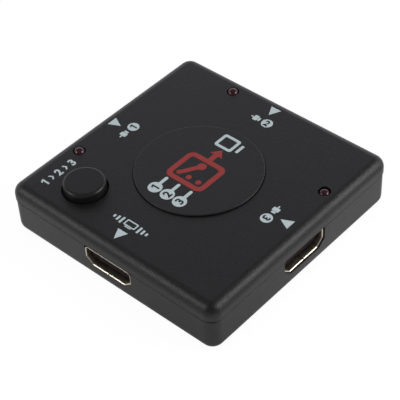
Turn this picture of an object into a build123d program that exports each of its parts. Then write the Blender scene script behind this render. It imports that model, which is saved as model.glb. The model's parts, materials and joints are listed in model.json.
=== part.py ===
"""Four-socket video switch box: a square two-shell casing with a select button, three lamps and a board.

The origin is the centre of the underside, +Z is up, and lengths are millimetres.
The output socket looks along -Y, input 3 along +X, input 2 along +Y and input 1 along -X.
Whatever belongs to a socket is drawn for the output side and then turned round Z to its own side.
"""

from build123d import *
import math
import os

# Casing: a square box in two shells, the lid a little wider than the base at the seam.
case_width = 65.0
case_height = 14.3
case_corner_radius = 3.2
top_edge_radius = 2.8
bottom_edge_radius = 2.7
case_wall = 1.5
seam_step = 0.12
seam_gap = 0.28
seam_round = 0.15
top_round_share = 0.8
rim_round = 0.15
cavity_corner_radius = 1.2

# Lap joint: a thin lip on the base stands in a rebate of the lid.
lip_height = 1.0
lip_thickness = 0.6
lip_clearance = 0.15

# Circuit board and what carries it.
board_thickness = 1.6
board_lift = 1.1
board_edge_gap = 0.75
board_corner_radius = 1.0
press_post_radius = 1.5

# Case screws: pan heads in counterbores, up through the bosses of the base into posts of the lid.
screw_inset = 6.5
screw_radius = 1.0
screw_length = 8.0
screw_head_radius = 1.8
screw_head_height = 1.3
screw_recess_depth = 0.8
screw_recess_width = 0.5
screw_sink = 1.1
screw_hole_clearance = 0.2
screw_head_clearance = 0.3
screw_tip_length = 0.8
boss_wall = 1.3
boss_shoulder = 1.1
boss_board_clearance = 0.2
boss_height_share = 0.6
post_wall = 1.2
post_tip_room = 1.0

# Sockets: the opening is wide side up, with a stepped-in and slanted lower half.
mouth_width = 14.0
mouth_height = 4.55
mouth_side_height = 2.95
mouth_shoulder = 0.45
mouth_shoulder_drop = 0.3
mouth_floor_width = 10.1
mouth_corner_radius = 0.7
mouth_edge_radius = 0.25
shell_sheet = 0.3
shell_edge_round = 0.07
shell_lead_in = 0.18
lead_in_slope = 45
shell_depth = 11.3
shell_lift = 0.2
shell_seam_width = 0.14
shell_notch_width = 0.28
shell_notch_depth = 0.4
port_clearance = 0.12
port_headroom = 0.38
output_recess = 0.0
input_1_recess = 0.2
input_2_recess = 0.2
input_3_recess = 0.4

# Spring fingers cut in the wide side of each socket shell.
finger_width = 1.7
finger_length = 4.4
finger_slot = 0.25
finger_start = 1.9
finger_spacing = 6.8

# Solder tabs of each socket shell, through slots of the board.
tab_width = 1.5
tab_front = 3.9
tab_rear = 9.4
tab_reach = 0.6
tab_slot_clearance = 0.25

# Insulator: a block that closes the back of the socket, with a tongue towards the mouth.
insulator_fit = 0.03
insulator_block = 3.0
tongue_setback = 1.0
tongue_width = 11.9
tongue_thickness = 1.7
tongue_edge = 0.25

# Contacts: one row on each face of the tongue, half a pitch apart.
contact_pitch = 1.0
contact_width = 0.4
contact_thickness = 0.12
contact_setback = 1.2
contact_tail_gap = 0.45
contact_foot = 0.9
upper_contacts = 10
lower_contacts = 9

# Indicator lamps, each beside its input socket.
lamp_inset = 4.75
lamp_offset = 13.05
lamp_radius = 1.5
lamp_body_length = 3.8
lamp_flange_radius = 1.9
lamp_flange_height = 1.0
lamp_1_proud = 0.7
lamp_2_proud = 0.7
lamp_3_proud = 0.25
lamp_hole_clearance = 0.08
lamp_lead_pitch = 2.54
lamp_lead_width = 0.5
lead_hole_clearance = 0.1
lead_reach = 0.7

# Raised disc in the middle of the lid, seated in a shallow recess.
disc_margin = 16.6
disc_proud = 0.46
disc_seat_depth = 0.5
disc_edge_radius = 0.25
disc_fit = 0.05

# Select button: a hollow cap with a flange that stops it under the lid, and a stem on the plunger.
button_inset_x = 15.3
button_inset_y = 10.9
button_radius = 5.28
button_proud = 2.3
button_edge_radius = 0.85
button_gap = 0.36
button_wall = 1.2
button_top_thickness = 1.4
button_flange_overlap = 0.85
button_flange_thickness = 0.9
button_stop_gap = 0.05
button_stem_radius = 1.6
button_rib_thickness = 0.8
button_travel = 0.3
collar_gap = 0.3
collar_wall = 0.8
collar_spare = 0.85

# Push switch under the button.
switch_width = 6.0
switch_housing_height = 3.2
switch_floor = 0.7
switch_cavity_radius = 2.6
switch_cover_thickness = 0.25
switch_cover_tab_width = 2.4
switch_cover_tab_drop = 1.6
switch_height = 5.0
rivet_radius = 0.45
rivet_inset = 0.75
rivet_height = 0.3
plunger_radius = 1.75
plunger_gap = 0.1
plunger_foot_radius = 2.35
plunger_foot_height = 1.0
plunger_foot_drop = 0.05
plunger_nub_radius = 0.8
plunger_nub_height = 0.45
dome_radius = 2.3
dome_gap = 0.05
dome_thickness = 0.08
terminal_width = 0.7
terminal_thickness = 0.3
terminal_spacing = 4.5
terminal_rise = 1.0
terminal_reach = 0.8
terminal_slot_clearance = 0.15

# Main switch chip: a flat square body with gull-wing legs on four sides.
chip_width = 10.0
chip_height = 1.0
chip_lift = 0.1
chip_edge = 0.15
chip_legs_per_side = 16
chip_leg_pitch = 0.5
chip_leg_width = 0.22
chip_leg_thickness = 0.12
chip_leg_reach = 1.0
chip_leg_foot = 0.5

# Small chips: one behind each socket, with legs on two long sides.
small_chip_length = 4.9
small_chip_width = 3.9
small_chip_height = 1.45
small_chip_legs_per_side = 4
small_chip_leg_pitch = 1.27
small_chip_leg_width = 0.4
small_chip_leg_thickness = 0.2
small_chip_leg_reach = 1.05
small_chip_leg_foot = 0.55

# Voltage regulator: a moulded body with one wide tab and three legs.
regulator_length = 6.5
regulator_width = 3.5
regulator_height = 1.6
regulator_tab_width = 3.0
regulator_leg_width = 0.7
regulator_leg_pitch = 2.3
regulator_leg_thickness = 0.26
regulator_leg_reach = 1.6
regulator_leg_foot = 0.8
regulator_inset_x = 11.0
regulator_inset_y = 15.0

# Passive parts: flat resistors and ceramic capacitors with a metal cap at each end.
passive_cap = 0.3
parts_gap = 0.6
resistor_length = 1.6
resistor_width = 0.8
resistor_height = 0.45
resistor_columns = 3
resistor_pitch = 1.5
capacitor_length = 2.0
capacitor_width = 1.25
capacitor_height = 0.85

# Can capacitors: a rolled can on a square base plate with two cut corners.
can_radius = 2.5
can_height = 4.6
can_groove_share = 0.18
can_groove_radius = 0.35
can_edge_radius = 0.3
can_base_margin = 0.15
can_base_thickness = 0.8
can_base_chamfer = 1.1
can_inset_x = 10.5
can_inset_y = 14.5
can_gap = 0.3

# One overrun serves every cut.
overrun = 0.5

# Heights and places that follow from the sizes above.
half_case = case_width / 2
half_base = half_case - seam_step
half_lid_cavity = half_case - case_wall
half_base_cavity = half_base - case_wall
ceiling_z = case_height - case_wall
board_under_z = case_wall + board_lift
board_top_z = board_under_z + board_thickness
half_board = half_base_cavity - board_edge_gap
shell_under_z = board_top_z + shell_lift
mouth_floor_z = shell_under_z + shell_sheet
mouth_top_z = mouth_floor_z + mouth_height
shell_top_z = mouth_top_z + shell_sheet
seam_z = shell_top_z + port_headroom
tongue_centre_z = mouth_floor_z + mouth_height / 2
screw_place = half_case - screw_inset
button_x = -(half_case - button_inset_x)
button_y = -(half_case - button_inset_y)
lamp_out = half_case - lamp_inset
disc_radius = half_case - disc_margin
can_base_width = 2 * (can_radius + can_base_margin)

port_angles = {"output": 0, "input_3": 90, "input_2": 180, "input_1": 270}
port_recesses = {
    "output": output_recess,
    "input_3": input_3_recess,
    "input_2": input_2_recess,
    "input_1": input_1_recess,
}
input_names = [name for name in port_angles if name != "output"]
lamp_prouds = {"input_1": lamp_1_proud, "input_2": lamp_2_proud, "input_3": lamp_3_proud}


def block_between(low, high):
    """A box from its lowest to its highest corner."""
    size = [b - a for a, b in zip(low, high)]
    middle = [(a + b) / 2 for a, b in zip(low, high)]
    return Pos(*middle) * Box(*size)


def upright(radius, low_z, high_z, x=0, y=0):
    """A vertical cylinder."""
    return Pos(x, y, (low_z + high_z) / 2) * Cylinder(radius, high_z - low_z)


def tube_upright(outer_radius, inner_radius, low_z, high_z, x=0, y=0):
    """A vertical tube."""
    outer = upright(outer_radius, low_z, high_z, x, y)
    return outer - upright(inner_radius, low_z - overrun, high_z + overrun, x, y)


def rounded_square(half_width, corner_radius, low_z, high_z):
    """A square block with rounded upright corners."""
    outline = RectangleRounded(2 * half_width, 2 * half_width, corner_radius)
    return Pos(0, 0, low_z) * extrude(outline, high_z - low_z)


def port_turn(name):
    """The turn from the output's side to the side of a named socket."""
    return Rot(0, 0, port_angles[name])


def mouth_outline(spread, top_z=None):
    """The socket's opening as a closed outline, grown all round by a spread and drawn up to a height."""
    half_top = mouth_width / 2
    half_floor = mouth_floor_width / 2
    side_z = mouth_top_z - mouth_side_height
    step_z = side_z - mouth_shoulder_drop
    half_step = half_top - mouth_shoulder
    right = [
        (half_floor, mouth_floor_z),
        (half_step, step_z),
        (half_top, side_z),
        (half_top, mouth_top_z),
    ]
    left = [(-x, z) for x, z in reversed(right)]
    face = make_face(Polyline(*right, *left, close=True))
    corners = face.vertices()
    face = fillet([v for v in corners if v.Y > side_z + mouth_shoulder_drop], mouth_corner_radius)
    lowest = [v for v in face.vertices() if abs(v.Y - mouth_floor_z) < mouth_shoulder_drop / 2]
    face = fillet(lowest, mouth_edge_radius)
    if spread:
        face = offset(face, spread)
    if top_z is not None:
        middle_z = mouth_top_z - mouth_corner_radius
        reach = Rectangle(mouth_width + 2 * spread, top_z - middle_z)
        face = face + Pos(0, (top_z + middle_z) / 2) * reach
    return face


def along_port(outline, start_depth, end_depth):
    """An outline in width and height, run into the casing between two depths from the mouth."""
    lifted = Plane.XZ * outline
    return Pos(0, start_depth, 0) * extrude(lifted, -(end_depth - start_depth))


def port_place(name):
    """From depth measured at the mouth to the place of a named socket in the casing."""
    return port_turn(name) * Pos(0, port_recesses[name] - half_base, 0)


def screw_corners():
    """The four screw places."""
    return [(sx * screw_place, sy * screw_place) for sx in (-1, 1) for sy in (-1, 1)]


def lamp_places():
    """Each lamp's place, in the turn order of its input socket."""
    places = {}
    for name in input_names:
        turned = port_turn(name) * Pos(lamp_offset, -lamp_out, 0)
        places[name] = (turned.position.X, turned.position.Y)
    return places


# Screw heights: the head sits in its counterbore, and the boss and the post meet round the screw.
screw_seat_z = screw_sink + screw_head_height
boss_radius = screw_radius + screw_hole_clearance + boss_wall
boss_top_z = board_top_z + (ceiling_z - board_top_z) * (1 - boss_height_share)
post_radius = screw_radius + post_wall
screw_tip_z = min(screw_seat_z + screw_length, ceiling_z - post_tip_room / 2)


def bottom_shell():
    """The base: floor and walls, a lip at the seam, screw bosses and the post under the button."""
    wall_top_z = seam_z - seam_gap
    shell = rounded_square(half_base, case_corner_radius, 0, wall_top_z)
    shell = fillet(shell.edges().group_by(Axis.Z)[0], bottom_edge_radius)
    shell = fillet(shell.edges().group_by(Axis.Z)[-1], seam_round)
    lip_half = half_base_cavity + lip_thickness
    shell += rounded_square(lip_half, cavity_corner_radius + lip_thickness, case_wall, seam_z + lip_height)
    hollow = rounded_square(half_base_cavity, cavity_corner_radius, case_wall, seam_z + lip_height + overrun)
    shell -= hollow
    for x, y in screw_corners():
        shell += upright(boss_radius + boss_shoulder, case_wall / 2, board_under_z, x, y)
        shell += upright(boss_radius, case_wall / 2, boss_top_z, x, y)
    shell += upright(press_post_radius, case_wall / 2, board_under_z, button_x, button_y)
    for x, y in screw_corners():
        head_hole = screw_head_radius + screw_head_clearance
        shell -= upright(head_hole, -overrun, screw_seat_z, x, y)
        shell -= upright(screw_radius + screw_hole_clearance, 0, boss_top_z + overrun, x, y)
    window = mouth_outline(shell_sheet + port_clearance, seam_z + lip_height + overrun)
    cut = along_port(window, -overrun, case_wall + 2 * overrun)
    for name in port_angles:
        shell -= port_turn(name) * Pos(0, -half_base, 0) * cut
    return shell


def top_shell():
    """The lid: rounded roof and skirt, a rebate for the lip, the disc's seat, holes, collar and posts."""
    shell = rounded_square(half_case, case_corner_radius, seam_z, case_height)
    top_round = min(top_edge_radius, (case_height - seam_z) * top_round_share)
    shell = fillet(shell.edges().group_by(Axis.Z)[-1], top_round)
    shell = fillet(shell.edges().group_by(Axis.Z)[0], seam_round)
    shell -= rounded_square(half_lid_cavity, cavity_corner_radius, seam_z - overrun, ceiling_z)
    rebate_half = half_base_cavity + lip_thickness + lip_clearance
    rebate_radius = cavity_corner_radius + lip_thickness + lip_clearance
    rebate_top = seam_z + lip_height + lip_clearance
    groove = rounded_square(rebate_half, rebate_radius, seam_z - overrun, rebate_top)
    core_half = half_base_cavity - lip_clearance
    shell -= groove - rounded_square(core_half, cavity_corner_radius, seam_z - 2 * overrun, case_height)
    flange_radius = button_radius + button_gap + button_flange_overlap
    collar_inner = flange_radius + collar_gap
    collar_outer = collar_inner + collar_wall
    collar_depth = button_stop_gap + button_flange_thickness + button_travel + collar_spare
    collar = tube_upright(collar_outer, collar_inner, ceiling_z - collar_depth, ceiling_z + case_wall / 2)
    shell += Pos(button_x, button_y, 0) * collar
    for x, y in screw_corners():
        shell += upright(post_radius, boss_top_z, ceiling_z + case_wall / 2, x, y)
        shell -= upright(screw_radius, boss_top_z - overrun, screw_tip_z, x, y)
    low_z = ceiling_z - overrun
    high_z = case_height + overrun
    shell -= upright(disc_radius + disc_fit, case_height - disc_seat_depth, high_z)
    shell -= upright(button_radius + button_gap, low_z, high_z, button_x, button_y)
    for x, y in lamp_places().values():
        shell -= upright(lamp_radius + lamp_hole_clearance, low_z, high_z, x, y)
    rims = [edge for edge in shell.edges().group_by(Axis.Z)[-1] if edge.is_closed]
    return fillet(rims, rim_round)


def centre_disc():
    """The raised disc, with a small round on its upper edge."""
    disc = upright(disc_radius, case_height - disc_seat_depth, case_height + disc_proud)
    return fillet(disc.edges().group_by(Axis.Z)[-1], disc_edge_radius)


def select_button():
    """The hollow cap, its stop flange, its stem and the two ribs that hold the stem."""
    top_z = case_height + button_proud
    flange_top_z = ceiling_z - button_stop_gap
    flange_under_z = flange_top_z - button_flange_thickness
    flange_radius = button_radius + button_gap + button_flange_overlap
    hollow_top_z = top_z - button_top_thickness
    cap = upright(button_radius, flange_under_z, top_z)
    cap = fillet(cap.edges().group_by(Axis.Z)[-1], button_edge_radius)
    cap += upright(flange_radius, flange_under_z, flange_top_z)
    inner_radius = button_radius - button_wall
    cap -= upright(inner_radius, flange_under_z - overrun, hollow_top_z)
    half_rib = button_rib_thickness / 2
    reach = button_radius - button_wall / 2
    root_z = top_z - button_top_thickness / 2
    cap += block_between((-reach, -half_rib, flange_under_z), (reach, half_rib, root_z))
    cap += block_between((-half_rib, -reach, flange_under_z), (half_rib, reach, root_z))
    cap += upright(button_stem_radius, board_top_z + switch_height, root_z)
    return Pos(button_x, button_y, 0) * cap


# Push switch heights.
switch_top_z = board_top_z + switch_housing_height
switch_cavity_z = board_top_z + switch_floor
plunger_foot_top_z = switch_top_z - plunger_foot_drop
plunger_foot_z = plunger_foot_top_z - plunger_foot_height
plunger_nub_z = plunger_foot_z - plunger_nub_height


def rivet_spots():
    """The four rivet places, from the switch's middle."""
    place = switch_width / 2 - rivet_inset
    return [(sx * place, sy * place) for sx in (-1, 1) for sy in (-1, 1)]


def switch_housing():
    """The square moulded housing, with a round chamber and four rivet heads over the cover."""
    half = switch_width / 2
    housing = block_between((-half, -half, board_top_z), (half, half, switch_top_z))
    housing -= upright(switch_cavity_radius, switch_cavity_z, switch_top_z + overrun)
    rivet_top_z = switch_top_z + switch_cover_thickness + rivet_height
    for x, y in rivet_spots():
        housing += upright(rivet_radius, switch_top_z - overrun, rivet_top_z, x, y)
    return Pos(button_x, button_y, 0) * housing


def switch_cover():
    """The sheet cover, with a hole for the plunger, four rivet holes and a tab down each free side."""
    half = switch_width / 2
    cover_top_z = switch_top_z + switch_cover_thickness
    outer = half + switch_cover_thickness
    half_tab = switch_cover_tab_width / 2
    cover = block_between((-half, -half, switch_top_z), (half, half, cover_top_z))
    cover += block_between((-half_tab, -outer, switch_top_z), (half_tab, outer, cover_top_z))
    tab_z = cover_top_z - switch_cover_tab_drop
    for side in (-1, 1):
        low_y, high_y = sorted((side * half, side * outer))
        cover += block_between((-half_tab, low_y, tab_z), (half_tab, high_y, cover_top_z))
    cover -= upright(plunger_radius + plunger_gap, switch_top_z - overrun, cover_top_z + overrun)
    for x, y in rivet_spots():
        cover -= upright(rivet_radius, switch_top_z - overrun, cover_top_z + overrun, x, y)
    return Pos(button_x, button_y, 0) * cover


def switch_plunger():
    """The plunger: a round shaft, a foot that stays under the cover and a nub on the dome."""
    shaft = upright(plunger_radius, plunger_foot_z, board_top_z + switch_height)
    shaft += upright(plunger_foot_radius, plunger_foot_z, plunger_foot_top_z)
    shaft += upright(plunger_nub_radius, plunger_nub_z, plunger_foot_z + overrun)
    return Pos(button_x, button_y, 0) * shaft


def switch_dome():
    """The snap dome: a thin cap of a sphere that stands on the chamber's floor."""
    rise = plunger_nub_z - dome_gap - switch_cavity_z
    sphere_radius = (dome_radius ** 2 + rise ** 2) / (2 * rise)
    centre_z = plunger_nub_z - dome_gap - sphere_radius
    ball = Pos(0, 0, centre_z) * Sphere(sphere_radius)
    inner = Pos(0, 0, centre_z) * Sphere(sphere_radius - dome_thickness)
    keep = upright(switch_cavity_radius, switch_cavity_z, switch_top_z)
    return Pos(button_x, button_y, 0) * ((ball - inner) & keep)


def terminal_spots():
    """The four terminal places, from the switch's middle."""
    out = switch_width / 2 + terminal_thickness / 2
    return [(sx * out, sy * terminal_spacing / 2) for sx in (-1, 1) for sy in (-1, 1)]


def switch_terminals():
    """Four flat terminals on the housing's sides, down through the board."""
    low_z = board_under_z - terminal_reach
    high_z = board_top_z + terminal_rise
    pieces = []
    for x, y in terminal_spots():
        middle_z = (low_z + high_z) / 2
        pin = Box(terminal_thickness, terminal_width, high_z - low_z)
        pieces.append(Pos(button_x + x, button_y + y, middle_z) * pin)
    return pieces


def lamp_lens(x, y, proud):
    """A round lamp: flange, body and domed end."""
    shoulder_z = case_height + proud - lamp_radius
    flange_z = shoulder_z - lamp_body_length
    body = upright(lamp_radius, flange_z, shoulder_z)
    body += upright(lamp_flange_radius, flange_z, flange_z + lamp_flange_height)
    body += Pos(0, 0, shoulder_z) * Sphere(lamp_radius)
    return Pos(x, y, 0) * body


def lamp_leads(x, y, proud):
    """Two square leads from the lamp's flange down through the board."""
    flange_z = case_height + proud - lamp_radius - lamp_body_length
    low_z = board_under_z - lead_reach
    pieces = []
    for side in (-1, 1):
        lead = Box(lamp_lead_width, lamp_lead_width, flange_z - low_z)
        pieces.append(Pos(x + side * lamp_lead_pitch / 2, y, (flange_z + low_z) / 2) * lead)
    return pieces


def port_shell():
    """A socket's folded sheet shell, drawn at depth zero: tube, seam, notch, fingers and solder tabs."""
    outer = along_port(mouth_outline(shell_sheet), 0, shell_depth)
    shell = outer - along_port(mouth_outline(0), -overrun, shell_depth + overrun)
    rim = shell.faces().group_by(Axis.Y)[0][0]
    shell = fillet(rim.outer_wire().edges(), shell_edge_round)
    flare = Plane.XZ * mouth_outline(shell_lead_in)
    shell -= extrude(flare, -shell_lead_in, taper=lead_in_slope)
    half_seam = shell_seam_width / 2
    floor_low = shell_under_z - overrun
    floor_high = mouth_floor_z + overrun
    shell -= block_between((-half_seam, -overrun, floor_low), (half_seam, shell_depth + overrun, floor_high))
    half_notch = shell_notch_width / 2
    shell -= block_between((-half_notch, -overrun, floor_low), (half_notch, shell_notch_depth, floor_high))
    for side in (-1, 1):
        middle = side * finger_spacing / 2
        end = finger_start + finger_length
        low_x = middle - finger_width / 2
        high_x = middle + finger_width / 2
        slot_low = mouth_top_z - overrun / 2
        slot_high = shell_top_z + overrun
        shell -= block_between((low_x - finger_slot, finger_start, slot_low), (low_x, end, slot_high))
        shell -= block_between((high_x, finger_start, slot_low), (high_x + finger_slot, end, slot_high))
        cross_low = (low_x - finger_slot, finger_start, slot_low)
        shell -= block_between(cross_low, (high_x + finger_slot, finger_start + finger_slot, slot_high))
    for spot in tab_spots():
        low = (spot[0] - shell_sheet / 2, spot[1] - tab_width / 2, board_under_z - tab_reach)
        high = (spot[0] + shell_sheet / 2, spot[1] + tab_width / 2, mouth_top_z - mouth_side_height / 2)
        shell += block_between(low, high)
    return shell


def tab_spots():
    """The four solder tabs of a socket, as width and depth."""
    out = mouth_width / 2 + shell_sheet / 2
    return [(side * out, depth) for side in (-1, 1) for depth in (tab_front, tab_rear)]


def contact_rows():
    """Each contact row as its side of the tongue, its count and the face that it lies on."""
    half = tongue_thickness / 2
    upper = (1, upper_contacts, tongue_centre_z + half)
    lower = (-1, lower_contacts, tongue_centre_z - half)
    return [upper, lower]


def contact_strip(side, face_z):
    """One contact: along the tongue, out of the back of the block, down and out along the board."""
    low_z, high_z = sorted((face_z, face_z + side * contact_thickness))
    half = contact_width / 2
    start = tongue_setback + contact_setback
    drop = shell_depth + contact_tail_gap
    foot_z = board_top_z + contact_thickness
    strip = block_between((-half, start, low_z), (half, drop + contact_thickness, high_z))
    strip += block_between((-half, drop, board_top_z), (half, drop + contact_thickness, high_z))
    strip += block_between((-half, drop, board_top_z), (half, drop + contact_foot, foot_z))
    return strip


def port_contacts():
    """All contacts of a socket, at depth zero."""
    pieces = []
    for side, count, face_z in contact_rows():
        strip = contact_strip(side, face_z)
        for i in range(count):
            pieces.append(Pos((i - (count - 1) / 2) * contact_pitch, 0, 0) * strip)
    return pieces


def port_insulator():
    """The moulded block and tongue, with a slot for each contact, at depth zero."""
    block = along_port(mouth_outline(-insulator_fit), shell_depth - insulator_block, shell_depth)
    half = tongue_width / 2
    low_z = tongue_centre_z - tongue_thickness / 2
    high_z = tongue_centre_z + tongue_thickness / 2
    tongue = block_between((-half, tongue_setback, low_z), (half, shell_depth - overrun, high_z))
    tongue = chamfer(tongue.edges().group_by(Axis.Y)[0].filter_by(Axis.X), tongue_edge)
    body = block + tongue
    start = shell_depth - insulator_block - overrun
    for side, count, face_z in contact_rows():
        slot_low, slot_high = sorted((face_z, face_z + side * contact_thickness))
        for i in range(count):
            middle = (i - (count - 1) / 2) * contact_pitch
            low = (middle - contact_width / 2, start, slot_low)
            body -= block_between(low, (middle + contact_width / 2, shell_depth + overrun, slot_high))
    return body


def gull_leg(thickness, width, high_z, reach, foot):
    """A leg that leaves a chip's side along -Y, steps down and lies on the board; its root is at Y zero."""
    half = width / 2
    bend = foot - reach
    leg = block_between((-half, bend - thickness, high_z - thickness), (half, 0, high_z))
    leg += block_between((-half, bend - thickness, board_top_z), (half, bend, high_z))
    leg += block_between((-half, -reach, board_top_z), (half, bend, board_top_z + thickness))
    return leg


def chip_body(length, width, height):
    """A moulded chip body with slightly cut upper edges, over the origin."""
    low_z = board_top_z + chip_lift
    body = block_between((-length / 2, -width / 2, low_z), (length / 2, width / 2, low_z + height))
    return chamfer(body.edges().group_by(Axis.Z)[-1], chip_edge)


def chip_side_legs(count, pitch, half_width, leg):
    """A row of like legs along the side that looks to -Y."""
    return [Pos((i - (count - 1) / 2) * pitch, -half_width, 0) * leg for i in range(count)]


def main_chip_legs():
    """Gull-wing legs on the four sides of the main chip."""
    middle_z = board_top_z + chip_lift + chip_height / 2
    leg = gull_leg(chip_leg_thickness, chip_leg_width, middle_z, chip_leg_reach, chip_leg_foot)
    row = chip_side_legs(chip_legs_per_side, chip_leg_pitch, chip_width / 2, leg)
    return [port_turn(name) * piece for name in port_angles for piece in row]


# Behind each socket, half way to the main chip's legs, lie a small chip, its resistors and two capacitors.
tails_end = half_base - max(port_recesses.values()) - shell_depth - contact_tail_gap - contact_foot
legs_end = chip_width / 2 + chip_leg_reach
band_middle = (tails_end + legs_end) / 2
resistors_width = (resistor_columns - 1) * resistor_pitch + resistor_width
band_width = small_chip_length + resistors_width + capacitor_width + 2 * parts_gap
small_chip_x = (small_chip_length - band_width) / 2
resistors_x = small_chip_x + (small_chip_length + resistors_width) / 2 + parts_gap
capacitor_x = (band_width - capacitor_width) / 2


def behind_port(name, x, further=0):
    """A place on the board behind a named socket, the same distance in on every side."""
    return port_turn(name) * Pos(x, further - band_middle, 0)


def small_chip_legs():
    """The legs of one small chip, over the origin."""
    middle_z = board_top_z + chip_lift + small_chip_height / 2
    leg = gull_leg(
        small_chip_leg_thickness, small_chip_leg_width, middle_z, small_chip_leg_reach, small_chip_leg_foot
    )
    row = chip_side_legs(small_chip_legs_per_side, small_chip_leg_pitch, small_chip_width / 2, leg)
    return row + [Rot(0, 0, 180) * piece for piece in row]


def passive(length, width, height):
    """A flat part with a metal cap on each end: its body and its two caps, long way along Y."""
    half = length / 2
    top_z = board_top_z + height
    inner = half - passive_cap
    body = block_between((-width / 2, -inner, board_top_z), (width / 2, inner, top_z))
    front = block_between((-width / 2, -half, board_top_z), (width / 2, -inner, top_z))
    rear = block_between((-width / 2, inner, board_top_z), (width / 2, half, top_z))
    return body, [front, rear]


def resistor_places():
    """Two rows of resistors beside each small chip."""
    half_step = (resistor_length + parts_gap) / 2
    places = []
    for name in port_angles:
        for i in range(resistor_columns):
            x = resistors_x + (i - (resistor_columns - 1) / 2) * resistor_pitch
            places += [behind_port(name, x, side * half_step) for side in (-1, 1)]
    return places


def capacitor_places():
    """Two ceramic capacitors, one behind the other, beside each group of resistors."""
    half_step = (capacitor_length + parts_gap) / 2
    return [behind_port(name, capacitor_x, side * half_step) for name in port_angles for side in (-1, 1)]


# The regulator lies in the corner between the output and input 3.
regulator_place = Pos(half_case - regulator_inset_x, -(half_case - regulator_inset_y), 0)


def regulator_body():
    """The regulator's moulded body."""
    return regulator_place * chip_body(regulator_length, regulator_width, regulator_height)


def regulator_legs():
    """Three legs towards the output side and one wide tab opposite."""
    middle_z = board_top_z + chip_lift + regulator_height / 2
    shape = (middle_z, regulator_leg_reach, regulator_leg_foot)
    leg = gull_leg(regulator_leg_thickness, regulator_leg_width, *shape)
    tab = gull_leg(regulator_leg_thickness, regulator_tab_width, *shape)
    pieces = [Pos(i * regulator_leg_pitch, -regulator_width / 2, 0) * leg for i in (-1, 0, 1)]
    pieces.append(Rot(0, 0, 180) * Pos(0, -regulator_width / 2, 0) * tab)
    return [regulator_place * piece for piece in pieces]


def can_places():
    """The can capacitors, side by side in the corner between inputs 2 and 3."""
    x = half_case - can_inset_x
    y = half_case - can_inset_y
    return [Pos(x, y, 0), Pos(x - can_base_width - can_gap, y, 0)]


def can_base():
    """The square base plate under one can, with two corners cut."""
    half = can_base_width / 2
    plate = block_between((-half, -half, board_top_z), (half, half, board_top_z + can_base_thickness))
    return chamfer(plate.edges().filter_by(Axis.Z).group_by(Axis.Y)[0], can_base_chamfer)


def can_body():
    """One rolled can with a groove near its foot."""
    low_z = board_top_z + can_base_thickness
    high_z = low_z + can_height
    can = upright(can_radius, low_z, high_z)
    can = fillet(can.edges().group_by(Axis.Z)[-1], can_edge_radius)
    groove_z = low_z + can_height * can_groove_share
    groove = Pos(0, 0, groove_z) * Torus(can_radius + can_groove_radius / 2, can_groove_radius)
    return can - groove


def circuit_board():
    """The board: screw bosses pass through it, with holes for every lead, terminal and solder tab."""
    board = rounded_square(half_board, board_corner_radius, board_under_z, board_top_z)
    low_z = board_under_z - overrun
    high_z = board_top_z + overrun
    for x, y in screw_corners():
        board -= upright(boss_radius + boss_board_clearance, low_z, high_z, x, y)
    lead_hole = lamp_lead_width / math.sqrt(2) + lead_hole_clearance
    for x, y in lamp_places().values():
        for side in (-1, 1):
            board -= upright(lead_hole, low_z, high_z, x + side * lamp_lead_pitch / 2, y)
    middle_z = (low_z + high_z) / 2
    for x, y in terminal_spots():
        slot = Box(
            terminal_thickness + 2 * terminal_slot_clearance,
            terminal_width + 2 * terminal_slot_clearance,
            high_z - low_z,
        )
        board -= Pos(button_x + x, button_y + y, middle_z) * slot
    for name in port_angles:
        for x, depth in tab_spots():
            slot = Box(
                shell_sheet + 2 * tab_slot_clearance,
                tab_width + 2 * tab_slot_clearance,
                high_z - low_z,
            )
            board -= port_place(name) * Pos(x, depth, middle_z) * slot
    return board


def case_screw():
    """One self-tapping screw with a pan head, a cross recess and a pointed end, over the origin."""
    head = upright(screw_head_radius, screw_sink, screw_seat_z)
    head = fillet(head.edges().group_by(Axis.Z)[0], screw_head_height / 2)
    half_slot = screw_recess_width / 2
    reach = screw_head_radius * math.sqrt(2) / 2
    low_z = screw_sink - overrun
    high_z = screw_sink + screw_recess_depth
    head -= block_between((-reach, -half_slot, low_z), (reach, half_slot, high_z))
    head -= block_between((-half_slot, -reach, low_z), (half_slot, reach, high_z))
    shank = upright(screw_radius, screw_seat_z - overrun / 2, screw_tip_z)
    shank = chamfer(shank.edges().group_by(Axis.Z)[-1], screw_tip_length, screw_radius / 2)
    return head + shank


def write(name, pieces):
    """Write one node as its own file."""
    if not isinstance(pieces, list):
        pieces = [pieces]
    solids = [solid for piece in pieces for solid in piece.solids()]
    node = solids[0] if len(solids) == 1 else Compound(children=solids)
    node.label = name
    export_step(node, "parts/" + name + ".step")
    print(name, len(solids))


os.makedirs("parts", exist_ok=True)

write("top_shell", top_shell())
write("bottom_shell", bottom_shell())
write("centre_disc", centre_disc())
write("select_button", select_button())
write("switch_housing", switch_housing())
write("switch_cover", switch_cover())
write("switch_plunger", switch_plunger())
write("switch_dome", switch_dome())
write("switch_terminals", switch_terminals())
write("circuit_board", circuit_board())
write("case_screws", [Pos(x, y, 0) * case_screw() for x, y in screw_corners()])

plain_shell = port_shell()
plain_insulator = port_insulator()
plain_contacts = port_contacts()
for name in port_angles:
    write(name + "_shell", port_place(name) * plain_shell)
    write(name + "_insulator", port_place(name) * plain_insulator)
    write(name + "_contacts", [port_place(name) * piece for piece in plain_contacts])

for name, (x, y) in lamp_places().items():
    write("lamp_lens_" + name[-1], lamp_lens(x, y, lamp_prouds[name]))
    write("lamp_leads_" + name[-1], lamp_leads(x, y, lamp_prouds[name]))

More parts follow.
